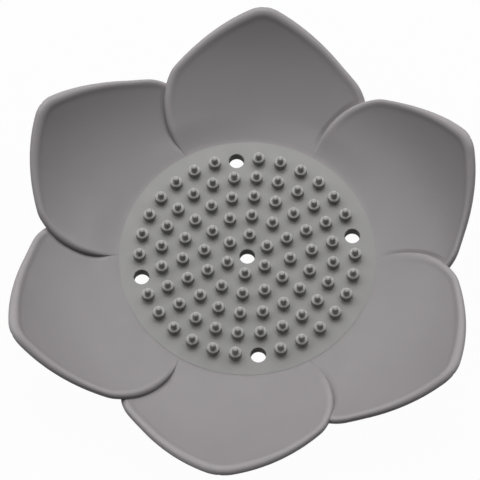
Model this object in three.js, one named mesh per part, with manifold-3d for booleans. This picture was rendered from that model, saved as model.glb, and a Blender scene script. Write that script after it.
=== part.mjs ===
// Lotus soap dish of soft silicone: a round drain plate with rings of stepped drip studs,
// six petals that overlap like a pinwheel, and six small feet that keep the plate off the
// wet surface. Millimetres, +Z up, the origin on the resting plane under the plate's middle.

import * as THREE from 'three';
import { mergeVertices } from 'three/addons/utils/BufferGeometryUtils.js';
import Module from 'manifold-3d';

const wasm = await Module();
wasm.setup();

// Drain plate
const plateRadius = 34;
const plateThickness = 3;
const plateSides = 72;

// Drip studs: a low round base with a slim tapered nub on it, in rings of 6, 12, 18 and so on
const studRings = 5;
const studEdgeMargin = 6;
const studBaseRadius = 1.65;
const studBaseHeight = 2.25;
const studBaseRounding = 0.3;
const nubRadius = 0.88;
const nubTopRadius = 0.7;
const nubHeight = 2.55;
const nubDome = 0.4;
const studSides = 8;

// Drain holes: one in the middle, the others in place of a stud of the outermost ring,
// counted counter-clockwise from the first petal's middle line
const drainHoleRadius = 2;
const drainHoleSides = 16;
const drainSlots = [1, 9, 16, 24];

// Feet
const footRadius = 3;
const footHeight = 2;
const footRounding = 0.5;
const footInset = 10;
const footSides = 16;

// Petals, laid flat: the side is an arc that is widest at widestAt, the shoulder lies on that
// arc at shoulderAngle, a flatter arc runs from there to the tip, and both corners are rounded
const petalCount = 6;
const firstPetalAngle = THREE.MathUtils.degToRad(90);
const flatReach = 68.8;
const petalHalfWidth = 27;
const widestAt = 43;
const sideRadius = 19;
const shoulderAngle = THREE.MathUtils.degToRad(65);
const shoulderRounding = 9;
const longArcRadius = 66;
const tipRounding = 6;

// Petals, bent up: they leave the plate at creaseAngle and curl up round a bowl. Over
// overlapRun each one's left edge comes to lie overlapStep higher than its neighbour.
const petalThickness = 2.4;
const creaseAngle = THREE.MathUtils.degToRad(12);
const bowlRadius = 58;
const overlapStep = 1.5;
const overlapRun = 14;

// Rim bead along the open edge of each petal, fading out towards the plate
const beadWidth = 2.6;
const beadHeight = 0.8;
const beadFade = 20;
const underRounding = 1.2;

// Clearance between the moulded features, which are separate solids here
const seamGap = 0.3;

// Facets of a petal: steps from the plate to the notch and along each arc from there to the
// tip, and steps over the rim bead, round the lower edge and across the face
const petalRows = [6, 1, 2, 7, 4];
const beadSteps = 4;
const underSteps = 2;
const faceColumns = 6;

// Derived sizes
const plateTop = footHeight + plateThickness;
const studPitch = (plateRadius - studEdgeMargin) / studRings;
const petalAngle = (2 * Math.PI) / petalCount;
const rootRadius = plateRadius + seamGap;
const weldDistance = 1e-4;
const notchHalvings = 40;

// Silicone finishes
function silicone(colour, roughness) {
  return new THREE.MeshStandardMaterial({ color: colour, roughness, metalness: 0 });
}

function namedMesh(name, geometry, material) {
  const mesh = new THREE.Mesh(geometry, material);
  mesh.name = name;
  return mesh;
}

// A geometry with only its places left, its shared corners merged and empty triangles dropped
function weld(geometry) {
  const bare = new THREE.BufferGeometry();
  bare.setAttribute('position', geometry.getAttribute('position'));
  bare.setIndex(geometry.index);
  const merged = mergeVertices(bare, weldDistance);
  const kept = [];
  const corner = merged.index.array;
  for (let i = 0; i < corner.length; i += 3) {
    const [a, b, c] = [corner[i], corner[i + 1], corner[i + 2]];
    if (a !== b && b !== c && c !== a) {
      kept.push(a, b, c);
    }
  }
  merged.setIndex(kept);
  return merged;
}

function toSolid(geometry) {
  const welded = weld(geometry);
  return new wasm.Manifold(new wasm.Mesh({
    numProp: 3,
    vertProperties: new Float32Array(welded.getAttribute('position').array),
    triVerts: new Uint32Array(welded.index.array),
  }));
}

function toGeometry(solid) {
  const mesh = solid.getMesh();
  const geometry = new THREE.BufferGeometry();
  geometry.setAttribute('position', new THREE.BufferAttribute(mesh.vertProperties, 3));
  geometry.setIndex(new THREE.BufferAttribute(mesh.triVerts, 1));
  return geometry;
}

// A profile of [radius, height] pairs, from the axis at the bottom to the axis at the top,
// turned about the Z axis
function turned(profile, sides) {
  const points = profile.map(([radius, height]) => new THREE.Vector2(radius, height));
  const geometry = new THREE.LatheGeometry(points, sides);
  geometry.rotateX(Math.PI / 2);
  return geometry;
}

function studGeometry(sunk) {
  const top = studBaseHeight + nubHeight;
  return turned([
    [0, -sunk],
    [studBaseRadius, -sunk],
    [studBaseRadius, studBaseHeight - studBaseRounding],
    [studBaseRadius - studBaseRounding, studBaseHeight],
    [nubRadius, studBaseHeight],
    [nubTopRadius, top - nubDome],
    [0, top],
  ], studSides);
}

function polar(radius, angle) {
  return new THREE.Vector2(radius * Math.cos(angle), radius * Math.sin(angle));
}

function angleOf({ x, y }) {
  return Math.atan2(y, x);
}

// Every place in the stud pattern, with the slots that are drain holes marked
function studPlaces() {
  const places = [{ point: polar(0, 0), hole: true }];
  for (let ring = 1; ring <= studRings; ring += 1) {
    const slots = petalCount * ring;
    for (let slot = 0; slot < slots; slot += 1) {
      const angle = firstPetalAngle + (slot * 2 * Math.PI) / slots;
      const hole = ring === studRings && drainSlots.includes(slot);
      places.push({ point: polar(ring * studPitch, angle), hole });
    }
  }
  return places;
}

function drainPlate() {
  let solid = toSolid(turned([
    [0, footHeight],
    [plateRadius, footHeight],
    [plateRadius, plateTop],
    [0, plateTop],
  ], plateSides));
  const sunk = plateThickness / 2;
  const holeLength = 2 * plateThickness;
  for (const { point, hole } of studPlaces()) {
    if (hole) {
      const drill = new THREE.CylinderGeometry(
        drainHoleRadius,
        drainHoleRadius,
        holeLength,
        drainHoleSides,
      );
      drill.rotateX(Math.PI / 2);
      drill.translate(point.x, point.y, plateTop - sunk);
      solid = solid.subtract(toSolid(drill));
    } else {
      const stud = studGeometry(sunk);
      stud.translate(point.x, point.y, plateTop);
      solid = solid.add(toSolid(stud));
    }
  }
  return namedMesh('drain_plate', toGeometry(solid), silicone(0x8c8c87, 0.72));
}

function foot(number) {
  const geometry = weld(turned([
    [0, 0],
    [footRadius - footRounding, 0],
    [footRadius, footRounding],
    [footRadius, footHeight],
    [0, footHeight],
  ], footSides));
  const mesh = namedMesh(`foot_${number}`, geometry, silicone(0x868581, 0.75));
  mesh.position.x = plateRadius - footInset;
  return mesh;
}

// Where two circles cross, on the left of the way from the first centre to the second
function leftCrossing(first, firstRadius, second, secondRadius) {
  const way = second.clone().sub(first);
  const distance = way.length();
  const along = (firstRadius ** 2 - secondRadius ** 2 + distance ** 2) / (2 * distance);
  const aside = Math.sqrt(Math.max(0, firstRadius ** 2 - along ** 2));
  way.normalize();
  const left = new THREE.Vector2(-way.y, way.x);
  return first.clone().addScaledVector(way, along).addScaledVector(left, aside);
}

// The circles of a petal's left edge, in the flat petal's own frame with +X to the tip. The two
// roundings touch the larger circles from inside.
const middle = new THREE.Vector2();
const sideCentre = new THREE.Vector2(widestAt, petalHalfWidth - sideRadius);
const shoulder = polar(sideRadius, shoulderAngle).add(sideCentre);
const tipCentre = new THREE.Vector2(flatReach - tipRounding, 0);
const longCentre = leftCrossing(tipCentre, longArcRadius - tipRounding, shoulder, longArcRadius);
const shoulderCentre = leftCrossing(
  longCentre,
  longArcRadius - shoulderRounding,
  sideCentre,
  sideRadius - shoulderRounding,
);

// How far from the plate's middle a circle touches another one inside it
function touchDistance(centre, radius, inner) {
  const way = inner.clone().sub(centre).normalize();
  return centre.clone().addScaledVector(way, radius).length();
}

// The arcs of the left edge from the plate to the tip, each with the distance where it ends
const edgeArcs = [
  {
    centre: sideCentre,
    radius: sideRadius,
    end: touchDistance(sideCentre, sideRadius, shoulderCentre),
  },
  {
    centre: shoulderCentre,
    radius: shoulderRounding,
    end: touchDistance(longCentre, longArcRadius, shoulderCentre),
  },
  {
    centre: longCentre,
    radius: longArcRadius,
    end: touchDistance(longCentre, longArcRadius, tipCentre),
  },
  { centre: tipCentre, radius: tipRounding, end: flatReach },
];

function arcAt(distance) {
  return edgeArcs.find(({ end }) => distance <= end);
}

// A point of the left edge by its distance from the middle, and the way into the petal there
function leftEdge(distance) {
  const { centre, radius } = arcAt(distance);
  const point = leftCrossing(middle, distance, centre, radius);
  return { point, inward: centre.clone().sub(point).normalize() };
}

// The notch between two petals, where the left edge crosses the line midway to the neighbour
function findNotch() {
  let near = widestAt;
  let far = flatReach;
  for (let step = 0; step < notchHalvings; step += 1) {
    const halfway = (near + far) / 2;
    if (angleOf(leftEdge(halfway).point) > petalAngle / 2) {
      near = halfway;
    } else {
      far = halfway;
    }
  }
  return near;
}

const notchDistance = findNotch();

// The right edge: the neighbour's left edge up to the notch, then the left edge mirrored
function rightEdge(distance) {
  const own = leftEdge(distance);
  const mirrored = new THREE.Vector2(own.inward.x, -own.inward.y);
  if (distance > notchDistance) {
    return { point: new THREE.Vector2(own.point.x, -own.point.y), inward: mirrored };
  }
  const away = own.inward.clone().rotateAround(middle, -petalAngle).negate();
  const seam = own.point.clone().rotateAround(middle, -petalAngle);
  const point = seam.addScaledVector(away, seamGap);
  if (distance < notchDistance) {
    return { point, inward: away };
  }
  const between = away.clone().add(mirrored).normalize();
  return { point, inward: between.divideScalar(between.dot(away)) };
}

// Bends a point of the flat petal up into the dish, the given height over the sheet's upper face.
// The way through the sheet is upright along the seams and turns square to the bowl at the tip.
function bentUp(point, height) {
  const flat = point.length();
  const angle = angleOf(point);
  const slope = creaseAngle + (flat - plateRadius) / bowlRadius;
  const reach = plateRadius + bowlRadius * (Math.sin(slope) - Math.sin(creaseAngle));
  const rise = bowlRadius * (Math.cos(creaseAngle) - Math.cos(slope));
  const grown = THREE.MathUtils.smoothstep(flat, rootRadius, rootRadius + overlapRun);
  const tilt = (overlapStep * grown * angle) / petalAngle;
  const square = THREE.MathUtils.smoothstep(flat, notchDistance, flatReach);
  const up = THREE.MathUtils.lerp(1 / Math.cos(slope), Math.cos(slope), square) * height;
  const back = square * Math.sin(slope) * height;
  const plan = polar(reach - back, angle);
  return new THREE.Vector3(plan.x, plan.y, plateTop + rise + tilt + up);
}

// Section of the rim, from the face over the half-round bead and round the edge to the underside,
// as [distance in from the edge, height over the face]
function rimSection(bead) {
  const section = [];
  for (let step = 0; step <= beadSteps; step += 1) {
    const turn = (Math.PI * step) / beadSteps;
    const inset = (beadWidth / 2) * (1 + Math.cos(turn));
    section.push([inset, beadHeight * bead * Math.sin(turn)]);
  }
  for (let step = 0; step <= underSteps; step += 1) {
    const turn = ((Math.PI / 2) * step) / underSteps;
    const drop = petalThickness - underRounding * (1 - Math.sin(turn));
    section.push([underRounding * (1 - Math.cos(turn)), -drop]);
  }
  return section;
}

function rimPlan(edge, inset, distance) {
  const point = edge.point.clone().addScaledVector(edge.inward, inset);
  return distance === rootRadius ? point.setLength(rootRadius) : point;
}

// Points between two flat points, at even steps of angle and of distance from the middle
function acrossFace(from, to, height) {
  const points = [];
  const [start, end] = [angleOf(from), angleOf(to)];
  for (let step = 1; step < faceColumns; step += 1) {
    const share = step / faceColumns;
    const distance = THREE.MathUtils.lerp(from.length(), to.length(), share);
    points.push(bentUp(polar(distance, THREE.MathUtils.lerp(start, end, share)), height));
  }
  return points;
}

// One closed section of the petal at that flat distance from the middle: across the upper face
// from right to left, down the left rim, back across the underside and up the right rim
function petalSection(distance) {
  const left = leftEdge(distance);
  const right = rightEdge(distance);
  const leftBead = THREE.MathUtils.smoothstep(distance, rootRadius, rootRadius + beadFade);
  const rightBead = distance < notchDistance ? 0 : 1;
  const leftRim = rimSection(leftBead);
  const rightRim = rimSection(rightBead);
  const place = (edge) => ([inset, height]) => bentUp(rimPlan(edge, inset, distance), height);
  const faceEnds = [right, left].map((edge) => rimPlan(edge, beadWidth, distance));
  const underEnds = [left, right].map((edge) => rimPlan(edge, underRounding, distance));
  return [
    ...acrossFace(...faceEnds, 0),
    ...leftRim.map(place(left)),
    ...acrossFace(...underEnds, -petalThickness),
    ...rightRim.map(place(right)).reverse(),
  ];
}

// Distances of the sections from the middle, at even steps along each arc
function sectionDistances() {
  const stops = [rootRadius, notchDistance, ...edgeArcs.map(({ end }) => end)];
  stops.sort((a, b) => a - b);
  const distances = [rootRadius];
  petalRows.forEach((rows, stretch) => {
    const ends = [stops[stretch], stops[stretch + 1]];
    const { centre, radius } = arcAt(ends[1]);
    const turns = ends.map((end) => angleOf(leftCrossing(middle, end, centre, radius).sub(centre)));
    for (let row = 1; row < rows; row += 1) {
      const turn = THREE.MathUtils.lerp(...turns, row / rows);
      distances.push(polar(radius, turn).add(centre).length());
    }
    distances.push(ends[1]);
  });
  return distances;
}

// Triangles that close the section beside the plate, bridged from its right edge to its left
// one between the upper half, which runs on from the given corner, and the lower half
function endFace(section, corner) {
  const size = section.length;
  const index = [];
  let upper = corner;
  let lower = corner - 1;
  for (let count = 2; count < size; count += 1) {
    const nextUpper = (upper + 1) % size;
    const nextLower = (lower + size - 1) % size;
    if (angleOf(section[nextUpper]) < angleOf(section[nextLower])) {
      index.push(upper, nextUpper, lower);
      upper = nextUpper;
    } else {
      index.push(nextLower, lower, upper);
      lower = nextLower;
    }
  }
  return index;
}

// The petal as a loft of its sections
function petalGeometry() {
  const sections = sectionDistances().map(petalSection);
  const size = sections[0].length;
  const rightCorner = size - 1 - beadSteps;
  const index = endFace(sections[0], rightCorner);
  for (let row = 0; row + 1 < sections.length; row += 1) {
    for (let column = 0; column < size; column += 1) {
      const next = (column + 1) % size;
      const [a, b] = [row * size + column, row * size + next];
      const [c, d] = [a + size, b + size];
      index.push(a, c, b, b, c, d);
    }
  }
  const geometry = new THREE.BufferGeometry().setFromPoints(sections.flat());
  geometry.setIndex(index);
  return weld(geometry);
}

function petal(number) {
  return namedMesh(`petal_${number}`, petalGeometry(), silicone(0x8f8b8b, 0.7));
}

// The whole dish, with a petal and a foot in each sixth of the circle
const dish = new THREE.Group();
dish.name = 'lotus_soap_dish';
dish.add(drainPlate());
for (let number = 1; number <= petalCount; number += 1) {
  const sector = new THREE.Group();
  sector.rotation.z = firstPetalAngle + (number - 1) * petalAngle;
  sector.add(petal(number), foot(number));
  dish.add(sector);
}

export default dish;
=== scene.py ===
import math
import bmesh
import bpy
import numpy as np
from mathutils import Matrix, Vector
from mathutils.geometry import delaunay_2d_cdt


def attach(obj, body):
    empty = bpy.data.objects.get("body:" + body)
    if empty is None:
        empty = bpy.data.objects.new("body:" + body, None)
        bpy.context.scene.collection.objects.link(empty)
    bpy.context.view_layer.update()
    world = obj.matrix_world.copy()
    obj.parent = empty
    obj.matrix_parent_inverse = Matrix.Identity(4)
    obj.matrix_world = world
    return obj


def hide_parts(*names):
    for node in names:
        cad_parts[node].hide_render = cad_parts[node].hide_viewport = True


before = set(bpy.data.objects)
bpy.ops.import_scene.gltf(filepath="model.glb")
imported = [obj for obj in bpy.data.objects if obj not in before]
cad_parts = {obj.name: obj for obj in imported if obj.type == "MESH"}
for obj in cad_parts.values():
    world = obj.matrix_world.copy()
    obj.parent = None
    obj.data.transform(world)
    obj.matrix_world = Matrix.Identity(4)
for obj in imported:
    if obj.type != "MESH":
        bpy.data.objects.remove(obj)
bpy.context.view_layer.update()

# Sizes of the dish are in millimetres, and each mesh is turned into metres when it is made
MM = 0.001

# Layout of the dish, as in the part's source
FOOT_HEIGHT = 2.0
FOOT_RADIUS = 3.0
FOOT_DISTANCE = 24.0
PLATE_RADIUS = 34.0
PLATE_THICKNESS = 3.0
PLATE_TOP = FOOT_HEIGHT + PLATE_THICKNESS
HOLE_RADIUS = 2.0
HOLE_SLOTS = (1, 9, 16, 24)
STUD_RINGS = 5
STUD_PITCH = 5.6
PETAL_COUNT = 6
PETAL_STEP = math.radians(360 / PETAL_COUNT)
FIRST_PETAL = math.radians(90)

# Drip studs, a little lower and slimmer than those of the solids
STUD_BASE_RADIUS = 1.58
STUD_BASE_HEIGHT = 1.95
STUD_FILLET = 0.3
STUD_ROUNDING = 0.15
NUB_RADIUS = 0.85
NUB_TOP_RADIUS = 0.72
NUB_HEIGHT = 2.1
NUB_FILLET = 0.1
NUB_DOME = 0.34
STUD_TOP = STUD_BASE_HEIGHT + NUB_HEIGHT

# Roundings of the holes and the feet, and how far a foot reaches into the plate
HOLE_ROUNDING = 0.2
FOOT_ROUNDING = 0.6
FOOT_FLARE = 0.35
FOOT_SINK = 0.02

# Petal laid flat: side arc, long arc to the tip, and the roundings of shoulder and tip
CUT_REACH = 69.5  # from the middle of the dish to the tip
HALF_WIDTH = 27.0
WIDEST_AT = 43.0
SIDE_RADIUS = 19.0
SHOULDER_ANGLE = math.radians(65)
SHOULDER_ROUNDING = 9.0
LONG_RADIUS = 56.0
TIP_ROUNDING = 9.0
RIGHT_SPREAD = math.radians(1.6)  # by which the right side is wider up to the notch
SPREAD_RUN = 10.0  # length past the notch over which that fades
ROOT_OVERLAP = 0.8  # by which the root reaches inside the plate's circle
ROOT_RADIUS = PLATE_RADIUS - ROOT_OVERLAP

# Bend of a petal: a soft crease at the plate, then a bowl, with the left edge raised over its neighbour
CREASE_ANGLE = math.radians(12)
CREASE_HALF = 0.6
ROOT_SLOPE = 0.3  # by which the root dips inside the crease
BOWL_RADIUS = 58.0
OVERLAP_STEP = 1.2
OVERLAP_RUN = 8.0

# Section of a petal: the sheet, its open rim, the edge underneath and where the painted highlight on the
# rim fades out
SHEET = 2.4
BEAD_HEIGHT = 0.13
BEAD_CREST = 1.8  # inset from the edge
BEAD_WIDTH = 3.4
RIM_DROP = 1.45  # fall of the rounding from the crest to the edge
RIM_SHEET = 2.3
RIM_UNDERCUT = 2.2  # inset of the rounding below an open rim
RIM_WALL = 0.1  # upright part between the two roundings
UNDER_ROUNDING = 1.2  # of the lower edge along the seam
OPEN_RUN = 7.0  # length past the notch over which the lower edge becomes that of an open rim
FILLED_WIDTH = (4.0, 20.0)  # width of the petal where the full sheet sets in and is reached
PAINTED_HIGHLIGHT_RUN = (1.5, 2.2)

# Seam between neighbours: the lip that lies on top, and the edge that is tucked under it
LIP_DROP = 0.9  # fall of the lip's rounding, before it grows into the open rim's
LIP_LEAD = 1.0  # distance before the notch where the lip is an open rim
LIP_ROUND = 0.4  # share of the open rim's rounding that the lip has by the plate
SEAM_BEAD = 0.3  # share of the bead that is left at the seam
SEAM_BEAD_RUN = 3.0
BARE_RUN = 6.0  # distance before the notch where the tucked edge starts to be rounded
TUCK_DROP = 0.35  # dip of the face towards the lip
TUCK_RUN = 1.3
SEAM_GAP = 0.04  # between neighbours by the plate
UNDERLAP = 0.9  # by which the tucked edge runs under the lip
UNDER_SPAN = (0.08, 0.5)  # shares of the seam's length where the gap turns into the underlap

# Where a petal's own bend and curl set in, from the plate's edge, and its turn, from the dish's middle
BEND_RUN = (6.0, 24.0)
CURL_RUN = (16.0, 36.0)
TURN_START = 44.0

# How each soft petal has settled: extra bend, turn of its tip and curl of its tip, in degrees
SETTLED = {
    "petal_1": (-3.2, 2.0, 3.0),
    "petal_2": (3.2, 2.3, 6.0),
    "petal_3": (0.4, 2.2, 0.0),
    "petal_4": (-4.2, 0.3, 0.0),
    "petal_5": (1.3, -1.8, 0.0),
    "petal_6": (11.0, -1.2, 6.0),
}

# Fineness of the turned forms: sides, steps of the roundings, and flat rings that keep the shading even
PLATE_SIDES = 288
HOLE_SIDES = 40
STUD_SIDES = 28
FOOT_SIDES = 48
FILLET_STEPS = 3
STUD_ROUND_STEPS = 5
DOME_STEPS = 6
HOLE_STEPS = 4
FOOT_ROUND_STEPS = 6
FLARE_STEPS = 4
GUARD = 0.06
SOLE_GUARD = 0.2

# Fineness of a petal: rows from root to tip, columns round the closed section, samples of its outline
ROWS_TO_NOTCH = 46
ROWS_TO_TIP = 64
ROW_EASE = 0.12  # by which rows lie closer at the notch and the tip
RIM_INSETS = np.array([0, 0.05, 0.17, 0.38, 0.67, 1.01, 1.39, 1.8, 2.06, 2.32, 2.6, 3.0, 3.4])
FACE_COLUMNS = 24
UNDER_COLUMNS = 18
LOW_STEPS = 8
TURN_WINDOW = 3.5  # length either side of the notch where the right columns turn to the rim's way
ROOT_WINDOW = 6.0  # length from the root where the columns turn from the plate's circle to the edge's way
ARC_SAMPLES = 400
EDGE_SKIP = 8  # every so many samples are enough for a distance
TUCKED_RUN = 8.0  # length before the notch that is searched for the end of the underlap
TUCKED_SAMPLES = 161
TABLE_SPAN = (-1.0, 45.0)  # of the bend table, from the plate's edge
TABLE_SAMPLES = 4601

# Closeness of points that count as one, and angles in degrees past which an edge is shaded sharp
WELD = 0.001
FILL_NEARNESS = 1e-7
TURNED_SHARP = 60
SHEET_SHARP = 55


# Small helpers
def smoothstep(value, low, high):
    share = np.clip((value - low) / (high - low), 0.0, 1.0)
    return share * share * (3 - 2 * share)


def smootherstep(value, low, high):
    """As smoothstep, with no jump of curvature at its ends."""
    share = np.clip((value - low) / (high - low), 0.0, 1.0)
    return share**3 * (10 - 15 * share + 6 * share**2)


def mix(first, second, share):
    return first * (1 - share) + second * share


def unit(vectors):
    return vectors / np.linalg.norm(vectors, axis=-1)[..., None]


def polar(points):
    """Distance from the middle of the dish and angle round it, of points in plan."""
    return np.linalg.norm(points, axis=-1), np.arctan2(points[..., 1], points[..., 0])


def turned_by(points, angle):
    """Points in plan, turned about the middle by one angle or each by its own."""
    x, y = points[:, 0], points[:, 1]
    return np.column_stack([
        x * np.cos(angle) - y * np.sin(angle),
        x * np.sin(angle) + y * np.cos(angle),
    ])


def angle_of(vector):
    return math.atan2(vector[1], vector[0])


def circle_crossings(centre_a, radius_a, centre_b, radius_b):
    """The two points where two circles in the plane cross."""
    gap = centre_b - centre_a
    distance = np.linalg.norm(gap)
    forward = (radius_a**2 - radius_b**2 + distance**2) / (2 * distance)
    aside = math.sqrt(max(radius_a**2 - forward**2, 0.0))
    way = gap / distance
    middle = centre_a + forward * way
    across = aside * np.array([-way[1], way[0]])
    return middle + across, middle - across


def ring_points(centre, radius, sides, height):
    """Points of a level circle."""
    turn = np.arange(sides) * 2 * math.pi / sides
    return np.column_stack([
        centre[0] + radius * np.cos(turn),
        centre[1] + radius * np.sin(turn),
        np.full(sides, height),
    ])


def arc(centre_radius, centre_height, rounding, start, end, steps):
    """Points of an arc in a turned profile, as (radius, height), from start to end in degrees."""
    turn = np.radians(np.linspace(start, end, steps + 1))
    return [
        (centre_radius + rounding * math.cos(t), centre_height + rounding * math.sin(t))
        for t in turn
    ]


class Skin:
    """Points and faces of one closed mesh, gathered ring by ring."""

    def __init__(self):
        self.points = []
        self.faces = []

    def add(self, points):
        start = len(self.points)
        self.points.extend([tuple(p) for p in points])
        return list(range(start, len(self.points)))

    def band(self, lower, upper):
        count = len(lower)
        for i in range(count):
            j = (i + 1) % count
            self.faces.append((lower[i], lower[j], upper[j], upper[i]))

    def fan(self, ring, middle):
        tip = self.add([middle])[0]
        count = len(ring)
        for i in range(count):
            self.faces.append((ring[i], ring[(i + 1) % count], tip))

    def lathe(self, profile, centre, base_height, sides, first_ring):
        """Rings of a turned form about a vertical axis. Radius 0 closes it with a fan."""
        previous = first_ring
        for radius, height in profile:
            if radius == 0:
                self.fan(previous, (*centre, base_height + height))
                return None
            current = self.add(ring_points(centre, radius, sides, base_height + height))
            self.band(previous, current)
            previous = current
        return previous


def placed(name, data):
    """A new object of the scene."""
    thing = bpy.data.objects.new(name, data)
    bpy.context.scene.collection.objects.link(thing)
    return thing


def new_piece(name, points, faces, material, sharp_degrees, painted_highlight=None):
    """A closed mesh with smooth shading, and its share of painted highlight at each point."""
    mesh = bpy.data.meshes.new(name)
    mesh.from_pydata([tuple(p) for p in np.asarray(points) * MM], [], faces)
    if painted_highlight is not None:
        mesh.attributes.new("painted_highlight", "FLOAT", "POINT").data.foreach_set("value", painted_highlight)
    work = bmesh.new()
    work.from_mesh(mesh)
    bmesh.ops.remove_doubles(work, verts=work.verts, dist=WELD * MM)
    bmesh.ops.recalc_face_normals(work, faces=work.faces)
    work.to_mesh(mesh)
    work.free()
    mesh.validate()
    mesh.shade_smooth()
    mesh.set_sharp_from_angle(angle=math.radians(sharp_degrees))
    mesh.materials.append(material)
    return placed(name, mesh)


# Steps of shader nodes that repeat
FULL_SPAN = (0.0, 1.0)


def noise(tree, place, scale, detail):
    texture = tree.nodes.new("ShaderNodeTexNoise")
    texture.inputs["Scale"].default_value = scale
    texture.inputs["Detail"].default_value = detail
    tree.links.new(place, texture.inputs["Vector"])
    return texture.outputs["Fac"]


def mapped(tree, value, source, target):
    """A value carried over from one span of numbers to another."""
    span = tree.nodes.new("ShaderNodeMapRange")
    span.inputs["From Min"].default_value = source[0]
    span.inputs["From Max"].default_value = source[1]
    span.inputs["To Min"].default_value = target[0]
    span.inputs["To Max"].default_value = target[1]
    tree.links.new(value, span.inputs["Value"])
    return span.outputs["Result"]


def combined(tree, operation, first, second):
    """Two values joined by one step of arithmetic."""
    step = tree.nodes.new("ShaderNodeMath")
    step.operation = operation
    tree.links.new(first, step.inputs[0])
    tree.links.new(second, step.inputs[1])
    return step.outputs["Value"]


# Silicone: a soft mottle in colour and gloss, a fine moulded grain, and a painted highlight that lightens
# the rims and the stud caps
NOISE_SPAN = (0.3, 0.7)
MOTTLE_SCALE = 70.0
MOTTLE_DETAIL = 4.0
BLOOM_SCALE = 220.0
BLOOM_DETAIL = 5.0
GRAIN_SCALE = 2600.0
GRAIN_DETAIL = 3.0
GRAIN_DEPTH = 0.0001
OFFSET_WAY = (1.0, 0.7, 1.3)
# Painted highlight: the gain on the base colour at the rims' crests and at the tops of the studs
RIM_PAINTED_HIGHLIGHT = 1.22
CAP_PAINTED_HIGHLIGHT = 1.45


def silicone(name, dark, light, roughness, shine, grain, offset, painted_highlight_gain=1.0):
    material = bpy.data.materials.new(name)
    material.use_nodes = True
    tree = material.node_tree
    nodes, links = tree.nodes, tree.links
    shader = nodes["Principled BSDF"]
    shader.inputs["Specular IOR Level"].default_value = shine
    origin = nodes.new("ShaderNodeTexCoord")
    shift = nodes.new("ShaderNodeMapping")
    shift.inputs["Location"].default_value = [offset * share for share in OFFSET_WAY]
    links.new(origin.outputs["Object"], shift.inputs["Vector"])
    place = shift.outputs["Vector"]

    ramp = nodes.new("ShaderNodeValToRGB")
    for element, position, colour in zip(ramp.color_ramp.elements, NOISE_SPAN, (dark, light)):
        element.position = position
        element.color = (*colour, 1)
    links.new(noise(tree, place, MOTTLE_SCALE, MOTTLE_DETAIL), ramp.inputs["Fac"])
    # Painted highlight: the base colour is made lighter by each point's share
    painted_highlight_share = nodes.new("ShaderNodeAttribute")
    painted_highlight_share.attribute_name = "painted_highlight"
    tone = nodes.new("ShaderNodeHueSaturation")
    links.new(mapped(tree, painted_highlight_share.outputs["Fac"], FULL_SPAN, (1.0, painted_highlight_gain)), tone.inputs["Value"])
    links.new(ramp.outputs["Color"], tone.inputs["Color"])
    links.new(tone.outputs["Color"], shader.inputs["Base Color"])

    bloom = noise(tree, place, BLOOM_SCALE, BLOOM_DETAIL)
    links.new(mapped(tree, bloom, NOISE_SPAN, roughness), shader.inputs["Roughness"])

    bump = nodes.new("ShaderNodeBump")
    bump.inputs["Strength"].default_value = grain
    bump.inputs["Distance"].default_value = GRAIN_DEPTH
    links.new(noise(tree, place, GRAIN_SCALE, GRAIN_DETAIL), bump.inputs["Height"])
    links.new(bump.outputs["Normal"], shader.inputs["Normal"])
    return material


plate_silicone = silicone(
    "silicone_plate",
    dark=(0.220, 0.219, 0.212),
    light=(0.230, 0.228, 0.221),
    roughness=(0.41, 0.51),
    shine=0.42,
    grain=0.10,
    offset=0.0,
    painted_highlight_gain=CAP_PAINTED_HIGHLIGHT,
)
petal_silicone = silicone(
    "silicone_petal",
    dark=(0.228, 0.214, 0.219),
    light=(0.238, 0.223, 0.228),
    roughness=(0.41, 0.51),
    shine=0.32,
    grain=0.08,
    offset=0.4,
    painted_highlight_gain=RIM_PAINTED_HIGHLIGHT,
)
foot_silicone = silicone(
    "silicone_foot",
    dark=(0.215, 0.212, 0.208),
    light=(0.225, 0.222, 0.218),
    roughness=(0.45, 0.55),
    shine=0.40,
    grain=0.10,
    offset=0.9,
)


# Drain plate: flat faces with a clean ring round every stud and hole, studs and holes turned
# Painted highlight on the studs: none below the base's shoulder, three quarters at the base's top, full at
# the nub's tip
CAP_HIGHLIGHT_HEIGHTS = (STUD_BASE_HEIGHT - STUD_ROUNDING, STUD_BASE_HEIGHT, STUD_TOP)
CAP_HIGHLIGHT_SHARES = (0.0, 0.75, 1.0)
FILL_INSIDE = 1


def stud_profile():
    """Radius and height of a stud from bottom to tip: a low round base and a slim domed nub."""
    bottom_radius = STUD_BASE_RADIUS + STUD_FILLET
    shoulder_radius = STUD_BASE_RADIUS - STUD_ROUNDING
    shoulder_height = STUD_BASE_HEIGHT - STUD_ROUNDING
    dome = np.radians(np.arange(DOME_STEPS) * 90 / DOME_STEPS)
    return [
        (bottom_radius, 0.0),
        *arc(bottom_radius, STUD_FILLET, STUD_FILLET, 250, 180, FILLET_STEPS),
        *arc(shoulder_radius, shoulder_height, STUD_ROUNDING, 0, 90, STUD_ROUND_STEPS),
        *arc(NUB_RADIUS + NUB_FILLET, STUD_BASE_HEIGHT + NUB_FILLET, NUB_FILLET, 270, 185, FILLET_STEPS),
        *((NUB_TOP_RADIUS * math.cos(t), STUD_TOP - NUB_DOME * (1 - math.sin(t))) for t in dome),
        (0, STUD_TOP),
    ]


def stud_places():
    """Centres of the studs and of the drain holes that stand in their pattern."""
    studs, holes = [], [(0.0, 0.0)]
    for ring in range(1, STUD_RINGS + 1):
        slots = PETAL_COUNT * ring
        for slot in range(slots):
            turn = FIRST_PETAL + slot * 2 * math.pi / slots
            spot = (ring * STUD_PITCH * math.cos(turn), ring * STUD_PITCH * math.sin(turn))
            is_hole = ring == STUD_RINGS and slot in HOLE_SLOTS
            (holes if is_hole else studs).append(spot)
    return studs, holes


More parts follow.
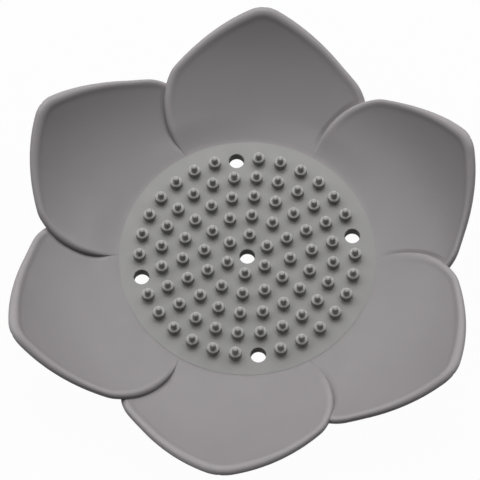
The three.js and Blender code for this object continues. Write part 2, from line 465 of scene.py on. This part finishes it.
def flat_face(skin, rings, openings):
    """Fills the flat area inside the first ring and outside the openings."""
    order = [i for ring in rings for i in ring]
    spots = [Vector(skin.points[i][:2]) for i in order]
    edges, start = [], 0
    for ring in rings:
        count = len(ring)
        edges += [(start + i, start + (i + 1) % count) for i in range(count)]
        start += count
    corners, _, faces, sources, _, _ = delaunay_2d_cdt(spots, edges, [], FILL_INSIDE, FILL_NEARNESS)
    for face in faces:
        middle = sum((corners[i] for i in face), Vector((0, 0))) / len(face)
        if all((middle - Vector(centre)).length >= radius for centre, radius in openings):
            skin.faces.append(tuple(order[sources[i][0]] for i in face))


def drain_plate():
    skin = Skin()
    studs, holes = stud_places()
    rim = PLATE_RADIUS - CREASE_HALF
    top_rings = [skin.add(ring_points((0, 0), rim, PLATE_SIDES, PLATE_TOP))]
    low_rings = [skin.add(ring_points((0, 0), rim, PLATE_SIDES, FOOT_HEIGHT))]
    skin.band(low_rings[0], top_rings[0])
    profile = stud_profile()
    stud_guard = STUD_BASE_RADIUS + STUD_FILLET + GUARD
    for spot in studs:
        guard = skin.add(ring_points(spot, stud_guard, STUD_SIDES, PLATE_TOP))
        skin.lathe(profile, spot, PLATE_TOP, STUD_SIDES, guard)
        top_rings.append(guard)
    lip = HOLE_RADIUS + HOLE_ROUNDING
    hole_guard = lip + GUARD
    hole_profile = [
        *arc(lip, PLATE_TOP - HOLE_ROUNDING, HOLE_ROUNDING, 90, 180, HOLE_STEPS),
        *arc(lip, FOOT_HEIGHT + HOLE_ROUNDING, HOLE_ROUNDING, 180, 270, HOLE_STEPS),
    ]
    for spot in holes:
        guard = skin.add(ring_points(spot, hole_guard, HOLE_SIDES, PLATE_TOP))
        last = skin.lathe(hole_profile, spot, 0.0, HOLE_SIDES, guard)
        low_guard = skin.add(ring_points(spot, hole_guard, HOLE_SIDES, FOOT_HEIGHT))
        skin.band(last, low_guard)
        top_rings.append(guard)
        low_rings.append(low_guard)
    hole_openings = [(spot, hole_guard) for spot in holes]
    flat_face(skin, top_rings, [(spot, stud_guard) for spot in studs] + hole_openings)
    flat_face(skin, low_rings, hole_openings)
    # Share of painted highlight by height over the plate
    height = np.array(skin.points)[:, 2] - PLATE_TOP
    painted_highlight = np.interp(height, CAP_HIGHLIGHT_HEIGHTS, CAP_HIGHLIGHT_SHARES)
    return new_piece("drain_plate_moulding", skin.points, skin.faces, plate_silicone, TURNED_SHARP, painted_highlight)


# Feet: low round pads with a soft lower edge, flared where they join the plate
def foot(number):
    skin = Skin()
    turn = FIRST_PETAL + (number - 1) * PETAL_STEP
    spot = (FOOT_DISTANCE * math.cos(turn), FOOT_DISTANCE * math.sin(turn))
    sole_radius = FOOT_RADIUS - FOOT_ROUNDING
    sole = skin.add(ring_points(spot, sole_radius - SOLE_GUARD, FOOT_SIDES, 0.0))
    skin.fan(sole, (*spot, 0.0))
    flare_radius = FOOT_RADIUS + FOOT_FLARE
    top = FOOT_HEIGHT + FOOT_SINK
    profile = [
        *arc(sole_radius, FOOT_ROUNDING, FOOT_ROUNDING, 270, 360, FOOT_ROUND_STEPS),
        *arc(flare_radius, FOOT_HEIGHT - FOOT_FLARE, FOOT_FLARE, 180, 100, FLARE_STEPS),
        (flare_radius, top),
        (0, top),
    ]
    skin.lathe(profile, spot, 0.0, FOOT_SIDES, sole)
    return new_piece(f"foot_pad_{number}", skin.points, skin.faces, foot_silicone, TURNED_SHARP)


# Outline of the flat petal, from its root beside the plate along its left edge to the tip
MIRROR = np.array([1, -1])


def left_outline():
    """Dense points of the left edge, the way into the petal at each, and the length so far."""
    side = np.array([WIDEST_AT, HALF_WIDTH - SIDE_RADIUS])
    shoulder = side + SIDE_RADIUS * np.array([math.cos(SHOULDER_ANGLE), math.sin(SHOULDER_ANGLE)])
    tip = np.array([CUT_REACH - TIP_ROUNDING, 0.0])
    long_centre = min(
        circle_crossings(shoulder, LONG_RADIUS, tip, LONG_RADIUS - TIP_ROUNDING),
        key=lambda c: c[1],
    )
    corner = min(
        circle_crossings(
            side, SIDE_RADIUS - SHOULDER_ROUNDING, long_centre, LONG_RADIUS - SHOULDER_ROUNDING
        ),
        key=lambda c: np.linalg.norm(c - shoulder),
    )
    root = max(
        circle_crossings(np.zeros(2), ROOT_RADIUS, side, SIDE_RADIUS),
        key=lambda c: c[1],
    )
    arcs = (
        (side, SIDE_RADIUS, angle_of(root - side), angle_of(corner - side)),
        (corner, SHOULDER_ROUNDING, angle_of(corner - side), angle_of(corner - long_centre)),
        (long_centre, LONG_RADIUS, angle_of(corner - long_centre), angle_of(tip - long_centre)),
        (tip, TIP_ROUNDING, angle_of(tip - long_centre), 0.0),
    )
    points, inward = [], []
    for centre, radius, start, end in arcs:
        turn = np.linspace(start, end, ARC_SAMPLES)
        ray = np.column_stack([np.cos(turn), np.sin(turn)])
        keep = slice(1 if points else 0, None)
        points.append((centre + radius * ray)[keep])
        inward.append(-ray[keep])
    points, inward = np.vstack(points), np.vstack(inward)
    length = np.concatenate([[0], np.cumsum(np.linalg.norm(np.diff(points, axis=0), axis=1))])
    return points, inward, length


edge_points, edge_inward, edge_length = left_outline()
edge_flat, edge_angle = polar(edge_points)
broadest = np.argmax(edge_angle)
notch_angle = (PETAL_STEP - RIGHT_SPREAD) / 2
notch_at = np.interp(-notch_angle, -edge_angle[broadest:], edge_length[broadest:])
notch_flat = np.interp(notch_at, edge_length, edge_flat)


def right_edge(vectors):
    """The left edge's points or ways mirrored, and spread a little beside the notch."""
    turn = -RIGHT_SPREAD * (1 - smoothstep(edge_length, notch_at, notch_at + SPREAD_RUN))
    return turned_by(vectors * MIRROR, turn)


rim_points, rim_inward = right_edge(edge_points), right_edge(edge_inward)


def edge_at(points, inward, length):
    """Points of an edge at lengths along it, and the ways into the petal there."""
    point = np.column_stack([np.interp(length, edge_length, points[:, k]) for k in (0, 1)])
    way = np.column_stack([np.interp(length, edge_length, inward[:, k]) for k in (0, 1)])
    return point, unit(way)


def distance_to(points, line):
    """Distance of every point to a polyline."""
    best = np.full(len(points), np.inf)
    for start, step in zip(line[:-1], np.diff(line, axis=0)):
        share = np.clip(((points - start) @ step) / (step @ step), 0, 1)
        gap = points - start - share[:, None] * step
        best = np.minimum(best, np.hypot(gap[:, 0], gap[:, 1]))
    return best


# Where the right rim comes out from under the neighbour, and the place on the seam beside it
seam_points = turned_by(edge_points[edge_length <= notch_at], -PETAL_STEP)
tucked = np.linspace(notch_at - TUCKED_RUN, notch_at, TUCKED_SAMPLES)
tucked_points, _ = edge_at(rim_points, rim_inward, tucked)
tucked_depth = distance_to(tucked_points, seam_points[::EDGE_SKIP])
under_at = np.interp(-UNDERLAP, -tucked_depth, tucked)
under_point, _ = edge_at(rim_points, rim_inward, np.array([under_at]))
seam_end = edge_length[np.argmin(np.linalg.norm(seam_points - under_point, axis=1))]


# Grid of a petal in plan: edges, rim columns and faces between them
def row_lengths():
    """Lengths along the left edge where the rows lie, a little closer by the notch and the tip."""
    inner = np.linspace(0, under_at, ROWS_TO_NOTCH + 1)
    share = np.linspace(0, 1, ROWS_TO_TIP + 1)[1:]
    eased = share - ROW_EASE * np.sin(2 * np.pi * share) / (2 * np.pi)
    return np.concatenate([inner, mix(under_at, edge_length[-1], eased)])


def round_way(points):
    """The way round the dish at each point, counter-clockwise."""
    radial = unit(points)
    return np.column_stack([-radial[:, 1], radial[:, 0]])


def blend_ways(first, second, share):
    return unit(mix(first, second, share[:, None]))


def petal_edges(lengths):
    """Left and right edge of every row, with the ways that the rim columns follow."""
    left, left_way = edge_at(edge_points, edge_inward, lengths)
    settle = smoothstep(lengths, 0.0, ROOT_WINDOW)
    left_way = blend_ways(-round_way(left), left_way, settle)

    beside = np.minimum(lengths, under_at) * seam_end / under_at
    seam, seam_way = edge_at(edge_points, edge_inward, beside)
    seam = turned_by(seam, -PETAL_STEP)
    away = blend_ways(round_way(seam), -turned_by(seam_way, -PETAL_STEP), settle)
    rim, rim_way = edge_at(rim_points, rim_inward, np.maximum(lengths, under_at))
    under = smoothstep(lengths, UNDER_SPAN[0] * under_at, UNDER_SPAN[1] * under_at)
    gap = mix(SEAM_GAP, -UNDERLAP, under)
    right = np.where((lengths > under_at)[:, None], rim, seam + gap[:, None] * away)
    share = np.clip((lengths - under_at) / TURN_WINDOW, -1, 1) / 2 + 0.5
    return left, left_way, right, blend_ways(away, rim_way, share)


def polar_between(start, end, count):
    """Plan points between two edges of each row, even in angle and in distance."""
    share = np.arange(1, count) / count
    start_radius, start_turn = polar(start[:, None])
    end_radius, end_turn = polar(end[:, None])
    radius = mix(start_radius, end_radius, share)
    turn = mix(start_turn, end_turn, share)
    return np.stack([radius * np.cos(turn), radius * np.sin(turn)], axis=-1)


def columns(edge, way, insets):
    """Plan points of every row at insets from its edge, with the first row on the root's circle."""
    grid = edge[:, None, :] + way[:, None, :] * insets[..., None]
    grid[0] = ROOT_RADIUS * unit(grid[0])
    return grid


# Section of a petal: heights of its upper side over the bent sheet, and its lower side
def rim_place(points):
    """Flat distance from the middle, depth from the nearer edge, and whether that is the left one."""
    flat = np.linalg.norm(points, axis=1)
    from_left = distance_to(points, edge_points[::EDGE_SKIP])
    from_right = distance_to(points, rim_points[::EDGE_SKIP])
    return flat, np.minimum(from_left, from_right), from_left <= from_right


def lip_growth(flat):
    """0 beside the plate and 1 by the notch, where the left edge becomes an open rim."""
    return smoothstep(flat, PLATE_RADIUS, notch_flat - LIP_LEAD)


def overlap_growth(flat):
    """0 beside the plate and 1 where the left edge lies fully over its neighbour."""
    return smoothstep(flat, PLATE_RADIUS, PLATE_RADIUS + OVERLAP_RUN)


def bead_lift(points):
    """Height of the rim bead over the face, with the rounded outer edge taken off."""
    flat, inset, on_left = rim_place(points)
    from_seam = distance_to(points, seam_points[::EDGE_SKIP])
    opened = lip_growth(flat)
    grown = overlap_growth(flat)
    bared = smoothstep(flat, notch_flat - BARE_RUN, notch_flat)

    right_strength = mix(SEAM_BEAD, 1.0, smoothstep(from_seam, 0.0, SEAM_BEAD_RUN))
    strength = np.where(on_left, opened, right_strength)
    bead = BEAD_HEIGHT * strength * smootherstep(inset, BEAD_WIDTH, BEAD_CREST)

    round_width = BEAD_CREST * np.where(on_left, mix(LIP_ROUND, 1.0, opened), 1.0)
    over = np.clip((round_width - inset) / round_width, 0, 1)
    drop = np.where(on_left, grown * mix(LIP_DROP, RIM_DROP, opened), RIM_DROP * bared)

    near_seam = 1 - smoothstep(from_seam, 0.0, TUCK_RUN)
    tuck = np.where(on_left, 0.0, TUCK_DROP * near_seam * grown * (1 - bared))
    return bead - drop * (1 - np.sqrt(1 - over**2)) - tuck


def rim_painted_highlight(points):
    """Share of painted highlight: 1 on the crest of the open rim, falling to 0 on the face."""
    flat, inset, on_left = rim_place(points)
    strength = np.where(on_left, lip_growth(flat), 1.0)
    return strength * (1 - smoothstep(inset, *PAINTED_HIGHLIGHT_RUN))


def lower_edge(edge, way, edge_lift, opened, low_sheet):
    """Plan points and lifts round the lower edge, and the lift halfway down the wall above it."""
    turn = np.radians(np.linspace(0, 90, LOW_STEPS + 1))
    inset = mix(UNDER_ROUNDING, RIM_UNDERCUT, opened) * (1 - np.cos(turn))
    wall_end = mix(UNDER_ROUNDING - SHEET, edge_lift - RIM_WALL, opened)
    lift = wall_end - (low_sheet + wall_end) * np.sin(turn)
    return columns(edge, way, inset), lift, (edge_lift + wall_end) / 2


def petal_grid():
    """Flat points, lifts and painted highlight of all rows and columns, the same for every petal."""
    lengths = row_lengths()
    left, left_way, right, right_way = petal_edges(lengths)
    right_columns = columns(right, right_way, RIM_INSETS)
    left_columns = columns(left, left_way, RIM_INSETS)
    face = polar_between(right_columns[:, -1], left_columns[:, -1], FACE_COLUMNS)
    upper = np.concatenate([right_columns, face, left_columns[:, ::-1]], axis=1)
    upper_shape = upper.shape[:2]
    lift = bead_lift(upper.reshape(-1, 2)).reshape(upper_shape)

    opened = smoothstep(lengths, notch_at, notch_at + OPEN_RUN)[:, None]
    low_sheet = mix(SHEET, RIM_SHEET, opened)
    left_low, left_lift, left_wall = lower_edge(left, left_way, lift[:, -1:], opened, low_sheet)
    right_low, right_lift, right_wall = lower_edge(right, right_way, lift[:, :1], opened, low_sheet)
    under = polar_between(left_low[:, -1], right_low[:, -1], UNDER_COLUMNS)
    across = np.arange(1, UNDER_COLUMNS) / UNDER_COLUMNS
    width = np.linalg.norm(left_low[:, -1] - right_low[:, -1], axis=1)[:, None]
    filled = (1 - (2 * across - 1) ** 2) * smoothstep(width, *FILLED_WIDTH)
    under_lift = -mix(low_sheet, SHEET, filled)
    plan = np.concatenate(
        [upper, left_low[:, :1], left_low, under, right_low[:, ::-1], right_low[:, :1]], axis=1
    )
    lifts = np.concatenate(
        [lift, left_wall, left_lift, under_lift, right_lift[:, ::-1], right_wall], axis=1
    )

    count = upper_shape[1]
    # Painted highlight along the rim's crest, carried down the outer rounding below it
    painted_highlight = np.zeros_like(lifts)
    painted_highlight[:, :count] = rim_painted_highlight(upper.reshape(-1, 2)).reshape(upper_shape)
    painted_highlight[:, count : count + LOW_STEPS] = painted_highlight[:, count - 1 : count]
    painted_highlight[:, -LOW_STEPS:] = painted_highlight[:, :1]
    return plan, lifts, painted_highlight, count


grid_plan, grid_lift, grid_painted_highlight, upper_count = petal_grid()


# Petals: the flat grid bent up, each one settled in its own way
def bend_table(extra_bend, curl):
    """Radius, height and slope of the bent sheet by flat distance from the plate's edge."""
    run = np.linspace(*TABLE_SPAN, TABLE_SAMPLES)
    slope = CREASE_ANGLE * smoothstep(run, -CREASE_HALF, CREASE_HALF) + np.clip(run, 0, None) / BOWL_RADIUS
    slope = slope + extra_bend * smoothstep(run, *BEND_RUN) + curl * smoothstep(run, *CURL_RUN)
    step = run[1] - run[0]
    radius = np.cumsum(np.cos(slope)) * step
    height = np.cumsum(np.sin(slope)) * step
    zero = np.argmin(np.abs(run))
    return run, PLATE_RADIUS + radius - radius[zero], height - height[zero], slope


def place_in_space(points, lift, table, tip_turn):
    """Bends flat points, lifted off the sheet, into the frame of a petal along +X."""
    run_table, radius_table, height_table, slope_table = table
    flat, turn = polar(points)
    run = flat - PLATE_RADIUS
    radius = np.interp(run, run_table, radius_table)
    slope = np.interp(run, run_table, slope_table)
    height = PLATE_TOP + np.interp(run, run_table, height_table)
    height = height + ROOT_SLOPE * np.minimum(run + CREASE_HALF, 0)
    height = height + OVERLAP_STEP * (turn / PETAL_STEP) * overlap_growth(flat)
    lean = smoothstep(flat, notch_flat, CUT_REACH)
    radius = radius - lean * np.sin(slope) * lift
    height = height + mix(1 / np.cos(slope), np.cos(slope), lean) * lift
    turn = turn + tip_turn * smoothstep(flat, TURN_START, CUT_REACH)
    return np.column_stack([radius * np.cos(turn), radius * np.sin(turn), height])


def root_cap(points, size):
    """Closes the section beside the plate between its upper and its lower half."""
    turn = [angle_of(point) for point in points[:size]]
    faces, upper, lower = [], 0, size - 1
    for _ in range(size - 2):
        if upper + 1 < upper_count and (lower <= upper_count or turn[upper + 1] < turn[lower - 1]):
            faces.append((upper, upper + 1, lower))
            upper += 1
        else:
            faces.append((lower - 1, lower, upper))
            lower -= 1
    return faces


def petal(number):
    name = f"petal_{number}"
    extra_bend, tip_turn, curl = (math.radians(v) for v in SETTLED[name])
    rows, size = grid_lift.shape
    points = place_in_space(
        grid_plan.reshape(-1, 2), grid_lift.ravel(), bend_table(extra_bend, curl), tip_turn
    )
    faces = root_cap(points, size)
    for row in range(rows - 1):
        for column in range(size):
            a, b = row * size + column, row * size + (column + 1) % size
            faces.append((a, a + size, b + size, b))
    points[:, :2] = turned_by(points[:, :2], FIRST_PETAL + (number - 1) * PETAL_STEP)
    return new_piece(f"{name}_sheet", points, faces, petal_silicone, SHEET_SHARP, grid_painted_highlight.ravel())


# The pieces, each in place of its solid
def stand_for(piece, node):
    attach(piece, "root")
    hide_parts(node)


stand_for(drain_plate(), "drain_plate")
for number in range(1, PETAL_COUNT + 1):
    stand_for(petal(number), f"petal_{number}")
    stand_for(foot(number), f"foot_{number}")


# Floor: grey to the light, white to the camera except for a faint shadow. From here on, metres
WHITE = (1, 1, 1, 1)
FLOOR_GREY = (0.4, 0.4, 0.4, 1)
FLOOR_GLOW = 0.975
FLOOR_HALF = 3.0
# Reach of the ambient occlusion that paints shade on the floor's glow in reflections, under the dish
PAINTED_SHADE_REACH = 0.03


def rays(tree, kind):
    """1 for rays of one kind, 0 for all others."""
    return tree.nodes.new("ShaderNodeLightPath").outputs[kind]


def seen_directly(tree, glossy):
    """1 for camera and transmission rays, 0 for light on its way to the dish, and glossy as given."""
    straight = combined(tree, "MAXIMUM", rays(tree, "Is Camera Ray"), rays(tree, "Is Transmission Ray"))
    return combined(tree, "MAXIMUM", straight, glossy)


def glossy_with_painted_shade(tree):
    """Glossy rays that meet the floor, dimmed by ambient occlusion where the dish covers it: a painted
    shade on the floor's glow as seen in reflections.
    """
    cover = tree.nodes.new("ShaderNodeAmbientOcclusion")
    cover.inputs["Distance"].default_value = PAINTED_SHADE_REACH
    return combined(tree, "MULTIPLY", rays(tree, "Is Glossy Ray"), cover.outputs["AO"])


def floor():
    material = bpy.data.materials.new("pale_floor")
    material.use_nodes = True
    tree = material.node_tree
    nodes, links = tree.nodes, tree.links
    nodes.remove(nodes["Principled BSDF"])
    matte = nodes.new("ShaderNodeBsdfDiffuse")
    matte.inputs["Color"].default_value = FLOOR_GREY
    glow = nodes.new("ShaderNodeEmission")
    glow.inputs["Color"].default_value = WHITE
    blend = nodes.new("ShaderNodeMixShader")
    seen = seen_directly(tree, glossy_with_painted_shade(tree))
    links.new(mapped(tree, seen, FULL_SPAN, (0.0, FLOOR_GLOW)), blend.inputs["Fac"])
    links.new(matte.outputs["BSDF"], blend.inputs[1])
    links.new(glow.outputs["Emission"], blend.inputs[2])
    links.new(blend.outputs["Shader"], nodes["Material Output"].inputs["Surface"])
    mesh = bpy.data.meshes.new("floor")
    corners = [(x * FLOOR_HALF, y * FLOOR_HALF, 0) for x, y in ((-1, -1), (1, -1), (1, 1), (-1, 1))]
    mesh.from_pydata(corners, [], [(0, 1, 2, 3)])
    mesh.materials.append(material)
    placed("floor", mesh)


floor()

# World: even dim light for the dish, white where it is seen directly
AMBIENT = 0.01


def studio_world():
    world = bpy.data.worlds.new("studio")
    bpy.context.scene.world = world
    world.use_nodes = True
    tree = world.node_tree
    sky = tree.nodes["Background"]
    sky.inputs["Color"].default_value = WHITE
    seen = seen_directly(tree, rays(tree, "Is Glossy Ray"))
    tree.links.new(mapped(tree, seen, FULL_SPAN, (AMBIENT, 1.0)), sky.inputs["Strength"])


studio_world()

# Lamps: square soft panels aimed at the origin, with azimuth and elevation in degrees, side and power
PANEL_DISTANCE = 0.8
PANELS = (
    ("key_left", 144.0, 46.0, 0.8, 5.1),
    ("key_right", 64.0, 46.0, 0.8, 5.0),
    ("key_back", 104.0, 55.0, 0.35, 0.6),
)


def panel(name, azimuth, elevation, side, power):
    lamp = bpy.data.lights.new(name, "AREA")
    lamp.shape = "SQUARE"
    lamp.size = side
    lamp.energy = power
    holder = placed(name, lamp)
    a, e = math.radians(azimuth), math.radians(elevation)
    way = Vector((math.cos(a) * math.cos(e), math.sin(a) * math.cos(e), math.sin(e)))
    holder.location = way * PANEL_DISTANCE
    holder.rotation_mode = "QUATERNION"
    holder.rotation_quaternion = way.to_track_quat("Z", "Y")


for settings in PANELS:
    panel(*settings)

# Camera at the photograph's angle, for a square picture
CAMERA_AZIMUTH = math.radians(7.6)
CAMERA_ELEVATION = math.radians(64.88)
CAMERA_ROLL = math.radians(1.56)
CAMERA_DISTANCE = 0.7085
CAMERA_VIEW = math.radians(10.07)
CAMERA_SHIFT = (-0.01515, 0.0341)
CAMERA_CLIP = 0.05
CAMERA_AIM = Vector((0, 0, PLATE_TOP * MM))
SENSOR = 36.0


def photo_camera():
    data = bpy.data.cameras.new("camera")
    data.sensor_width = SENSOR
    data.lens = SENSOR / 2 / math.tan(CAMERA_VIEW / 2)
    data.shift_x, data.shift_y = CAMERA_SHIFT
    data.clip_start = CAMERA_CLIP
    back = Vector((
        math.sin(CAMERA_AZIMUTH) * math.cos(CAMERA_ELEVATION),
        -math.cos(CAMERA_AZIMUTH) * math.cos(CAMERA_ELEVATION),
        math.sin(CAMERA_ELEVATION),
    ))
    level_right = Vector((math.cos(CAMERA_AZIMUTH), math.sin(CAMERA_AZIMUTH), 0))
    level_up = back.cross(level_right)
    right = level_right * math.cos(CAMERA_ROLL) - level_up * math.sin(CAMERA_ROLL)
    up = level_right * math.sin(CAMERA_ROLL) + level_up * math.cos(CAMERA_ROLL)
    pose = Matrix((right, up, back)).transposed().to_4x4()
    pose.translation = CAMERA_AIM + back * CAMERA_DISTANCE
    camera = placed("camera", data)
    camera.matrix_world = pose
    bpy.context.scene.camera = camera


photo_camera()
bpy.context.scene.view_settings.view_transform = "Standard"
